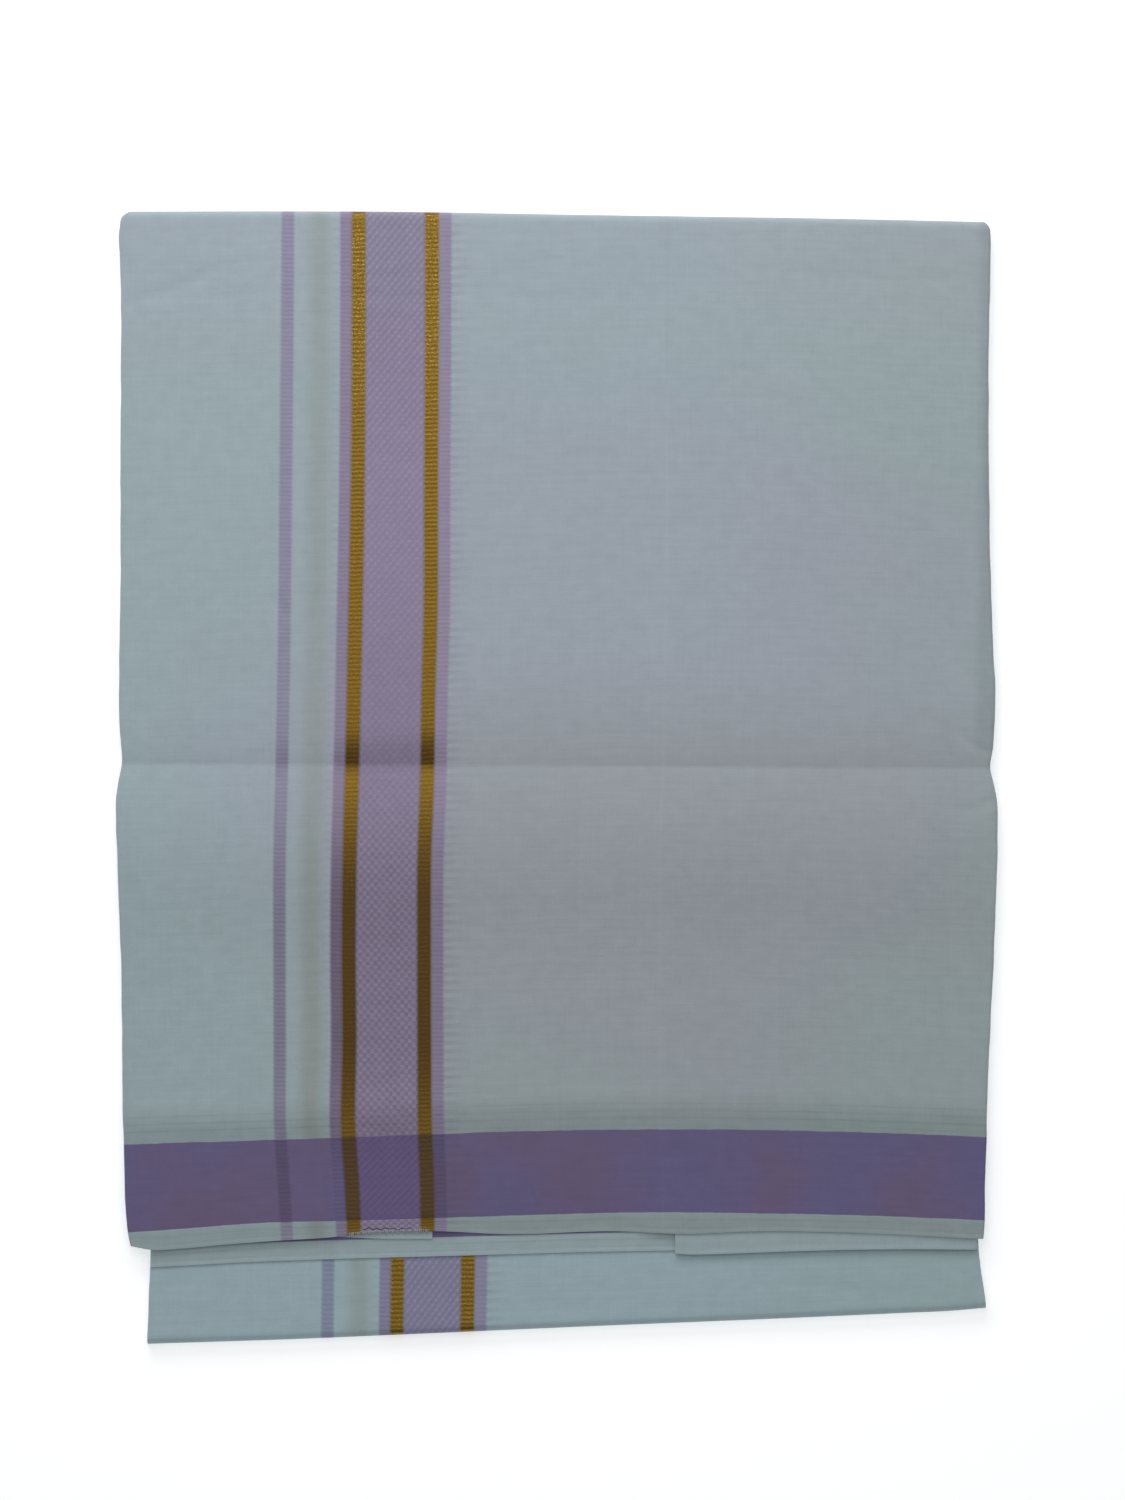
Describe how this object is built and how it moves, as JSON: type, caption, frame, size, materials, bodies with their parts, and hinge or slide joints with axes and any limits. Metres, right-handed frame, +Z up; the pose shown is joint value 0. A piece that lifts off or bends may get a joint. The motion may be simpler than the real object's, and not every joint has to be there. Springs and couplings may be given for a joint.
{
  "type": "dhoti cloth",
  "caption": "Flat folded dhoti: a pressed pack of white woven cloth with striped side borders, a cross band near its end and a crease across the middle.",
  "frame": {"origin": "bottom centre of the pack's box, on the surface that it lies on", "axes": "+Z up; +Y from the low front fold to the tall back fold, the pack's longest side; +X to the right as the pack is read from the front"},
  "size_m": [0.3535, 0.4528, 0.0106],
  "materials": {
    "striped_cotton": "plain woven white cotton with woven lilac and gold stripes, pressed, slight sheen on the gold",
    "white_cotton": "plain woven white cotton, pressed, matte"
  },
  "bodies": {
    "root": {"top_leaf": "striped_cotton", "under_flap": "white_cotton", "end_flap": "white_cotton", "end_leaf": "white_cotton", "lower_leaf": "striped_cotton", "hidden_layers": "white_cotton"}
  },
  "joints": []
}
